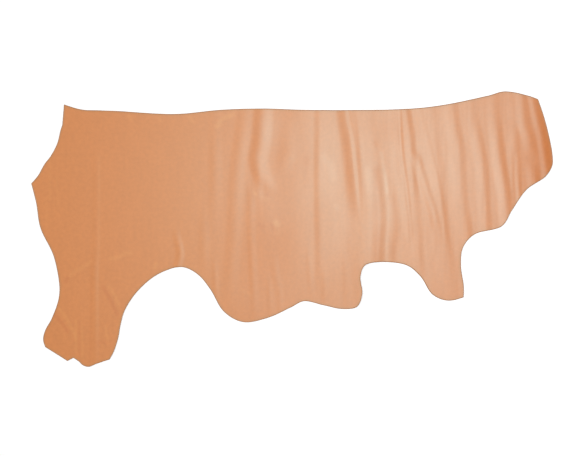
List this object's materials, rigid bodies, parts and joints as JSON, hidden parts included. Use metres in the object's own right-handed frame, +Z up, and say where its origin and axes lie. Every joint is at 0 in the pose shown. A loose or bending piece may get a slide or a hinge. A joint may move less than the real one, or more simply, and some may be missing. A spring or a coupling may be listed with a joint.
{
  "type": "leather hide side",
  "caption": "One side of vegetable-tanned cattle leather, cut along the backbone, lying flat with its grain side up and soft folds across the neck.",
  "frame": {"origin": "middle of the hide's outline box, on the surface that the hide lies on", "axes": "+X along the backbone toward the neck, +Y from the belly up to the backbone, +Z up out of the grain side"},
  "size_m": [2.4001, 1.2672, 0.0081],
  "materials": {
    "grain_leather": "natural orange-tan grain, satin"
  },
  "bodies": {
    "root": {"hide": "grain_leather"}
  },
  "joints": []
}
